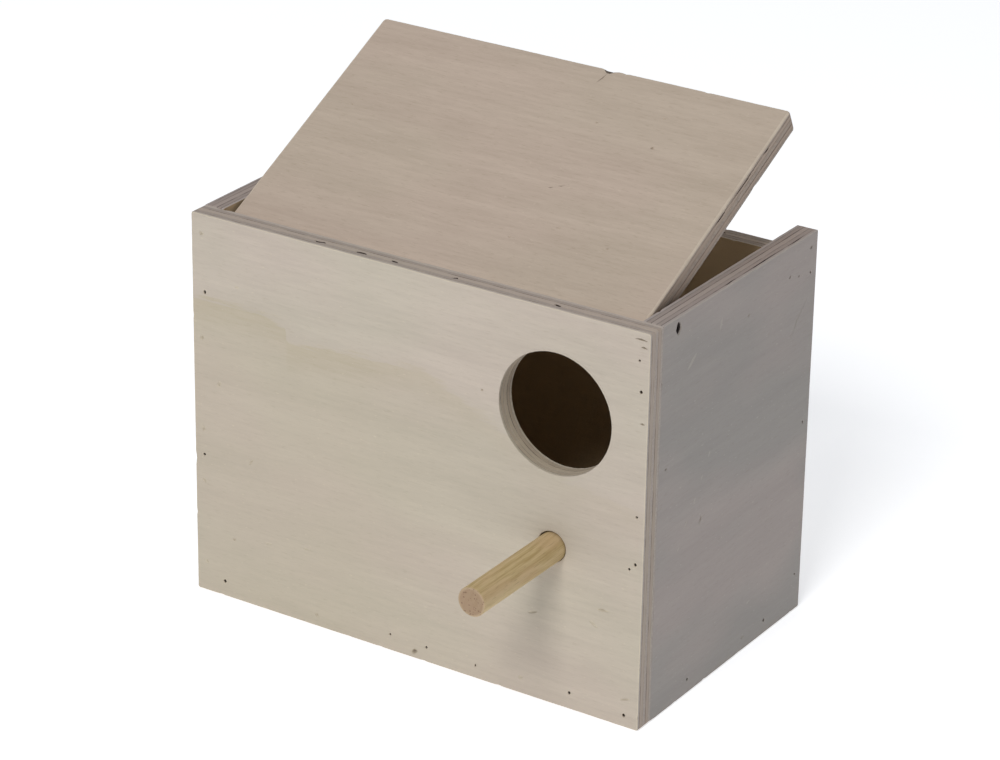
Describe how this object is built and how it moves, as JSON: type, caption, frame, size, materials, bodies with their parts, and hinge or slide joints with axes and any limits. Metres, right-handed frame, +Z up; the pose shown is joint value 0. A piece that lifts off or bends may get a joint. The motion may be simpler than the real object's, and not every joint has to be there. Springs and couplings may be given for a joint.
{
  "type": "birdhouse",
  "caption": "Plywood nest box for small cage birds, with a lid that swings up on two nails, a round entrance near one end and a dowel perch below it.",
  "frame": {"origin": "centre of the box's underside", "axes": "+Z up, -Y out of the front face with the entrance, +X to the right seen from the front"},
  "size_m": [0.21, 0.181, 0.2143],
  "materials": {
    "plywood": "bare sanded",
    "lid_plywood": "bare sanded",
    "dowel": "bare turned",
    "nail_steel": "dull",
    "brad_steel": "dull"
  },
  "bodies": {
    "box": {"front_panel": "plywood", "back_panel": "plywood", "left_side_panel": "plywood", "right_side_panel": "plywood", "floor_panel": "plywood", "perch_dowel": "dowel", "front_left_brads": "brad_steel", "front_right_brads": "brad_steel", "front_floor_brads": "brad_steel", "left_back_brads": "brad_steel", "right_back_brads": "brad_steel", "left_floor_brads": "brad_steel", "right_floor_brads": "brad_steel", "back_floor_brads": "brad_steel"},
    "lid": {"lid_panel": "lid_plywood", "left_pivot_nail": "nail_steel", "right_pivot_nail": "nail_steel"}
  },
  "joints": [
    {"name": "lid_hinge", "type": "hinge", "parent": "box", "child": "lid", "pos_m": [0, -0.043, 0.1605], "axis": [1, 0, 0], "range_deg": [-26.5, 108]}
  ]
}
